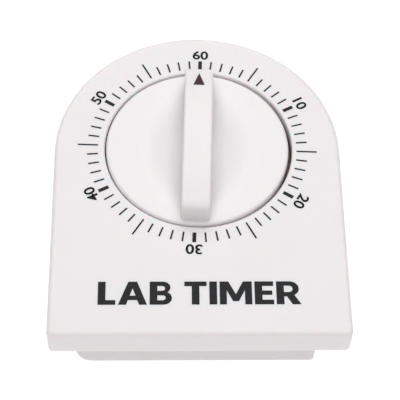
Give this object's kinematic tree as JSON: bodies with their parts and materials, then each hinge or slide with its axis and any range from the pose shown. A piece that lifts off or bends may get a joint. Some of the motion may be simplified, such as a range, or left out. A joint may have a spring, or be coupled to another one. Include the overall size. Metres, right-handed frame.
{
  "type": "lab timer",
  "caption": "Arch-topped clockwork countdown timer with a recessed turning dial knob, a raised grip bar, a minute scale and a bell movement inside.",
  "frame": {"origin": "middle of the case outline on its flat back face, with the timer lying on its back", "axes": "+Z out of the dial face along the knob's axis, +Y up the dial towards the sixty mark, +X to the right of the dial"},
  "size_m": [0.076, 0.0936, 0.0385],
  "materials": {
    "case_white": "white ABS, fine satin moulding",
    "rear_white": "white ABS, matt moulding",
    "knob_white": "white ABS, satin moulding",
    "brass": "turned brass",
    "plate_steel": "zinc-plated sheet steel",
    "arbor_steel": "ground steel rod",
    "spring_steel": "blued spring steel",
    "bell_nickel": "nickel-plated steel bell",
    "screw_zinc": "bright zinc-plated steel"
  },
  "bodies": {
    "case": {"front_housing": "case_white", "rear_housing": "rear_white", "case_screws": "screw_zinc", "front_plate": "plate_steel", "back_plate": "plate_steel", "plate_pillars": "plate_steel", "pillar_nuts": "screw_zinc", "movement_screws": "screw_zinc", "front_bush": "brass", "bell_post": "brass", "gong": "bell_nickel", "bell_screw": "screw_zinc", "spring_barrel": "plate_steel", "mainspring": "spring_steel", "hammer_spring": "spring_steel"},
    "knob": {"knob": "knob_white", "knob_spring_clip": "spring_steel", "main_arbor": "arbor_steel", "main_wheel": "brass", "clutch_spring": "spring_steel", "clutch_collet": "brass", "trip_cam": "brass"},
    "second": {"second_arbor": "arbor_steel", "second_wheel": "brass"},
    "third": {"third_arbor": "arbor_steel", "third_wheel": "brass"},
    "escape": {"escape_arbor": "arbor_steel", "escape_wheel": "brass"},
    "pallet": {"pallet_arbor": "arbor_steel", "pallet_lever": "plate_steel", "pallet_pins": "arbor_steel", "balance_ring": "brass"},
    "hammer": {"hammer_arbor": "arbor_steel", "hammer_arm": "plate_steel", "hammer_head": "brass", "hammer_tail": "plate_steel"},
    "trip": {"trip_arbor": "arbor_steel", "trip_lever": "plate_steel"}
  },
  "joints": [
    {"name": "knob_turn", "type": "hinge", "parent": "case", "child": "knob", "pos_m": [0, 0.00925, 0.03], "axis": [0, 0, -1], "range_deg": [0, 345]},
    {"name": "second_spin", "type": "hinge", "parent": "case", "child": "second", "pos_m": [-0.014, 0.00925, 0.0162], "axis": [0, 0, 1], "range_deg": [0, 2070]},
    {"name": "third_spin", "type": "hinge", "parent": "case", "child": "third", "pos_m": [-0.01517, 0.00033, 0.0162], "axis": [0, 0, -1], "range_deg": [0, 10350]},
    {"name": "escape_spin", "type": "hinge", "parent": "case", "child": "escape", "pos_m": [-0.00993, -0.00393, 0.0162], "axis": [0, 0, 1], "range_deg": [0, 41400]},
    {"name": "pallet_rock", "type": "hinge", "parent": "case", "child": "pallet", "pos_m": [-0.00417, -0.00671, 0.0162], "axis": [0, 0, 1], "range_deg": [-6, 6]},
    {"name": "hammer_swing", "type": "hinge", "parent": "case", "child": "hammer", "pos_m": [0.01212, 0.00225, 0.0162], "axis": [0, 0, 1], "range_deg": [-9, 12], "stiffness_Nm_per_rad": 0.002},
    {"name": "trip_swing", "type": "hinge", "parent": "case", "child": "trip", "pos_m": [0.00685, 0.02214, 0.0162], "axis": [0, 0, 1], "range_deg": [0, 6]}
  ],
  "couplings": [
    {"joint": "second_spin", "follows": "knob_turn", "ratio": 6},
    {"joint": "third_spin", "follows": "knob_turn", "ratio": 30},
    {"joint": "escape_spin", "follows": "knob_turn", "ratio": 120}
  ]
}
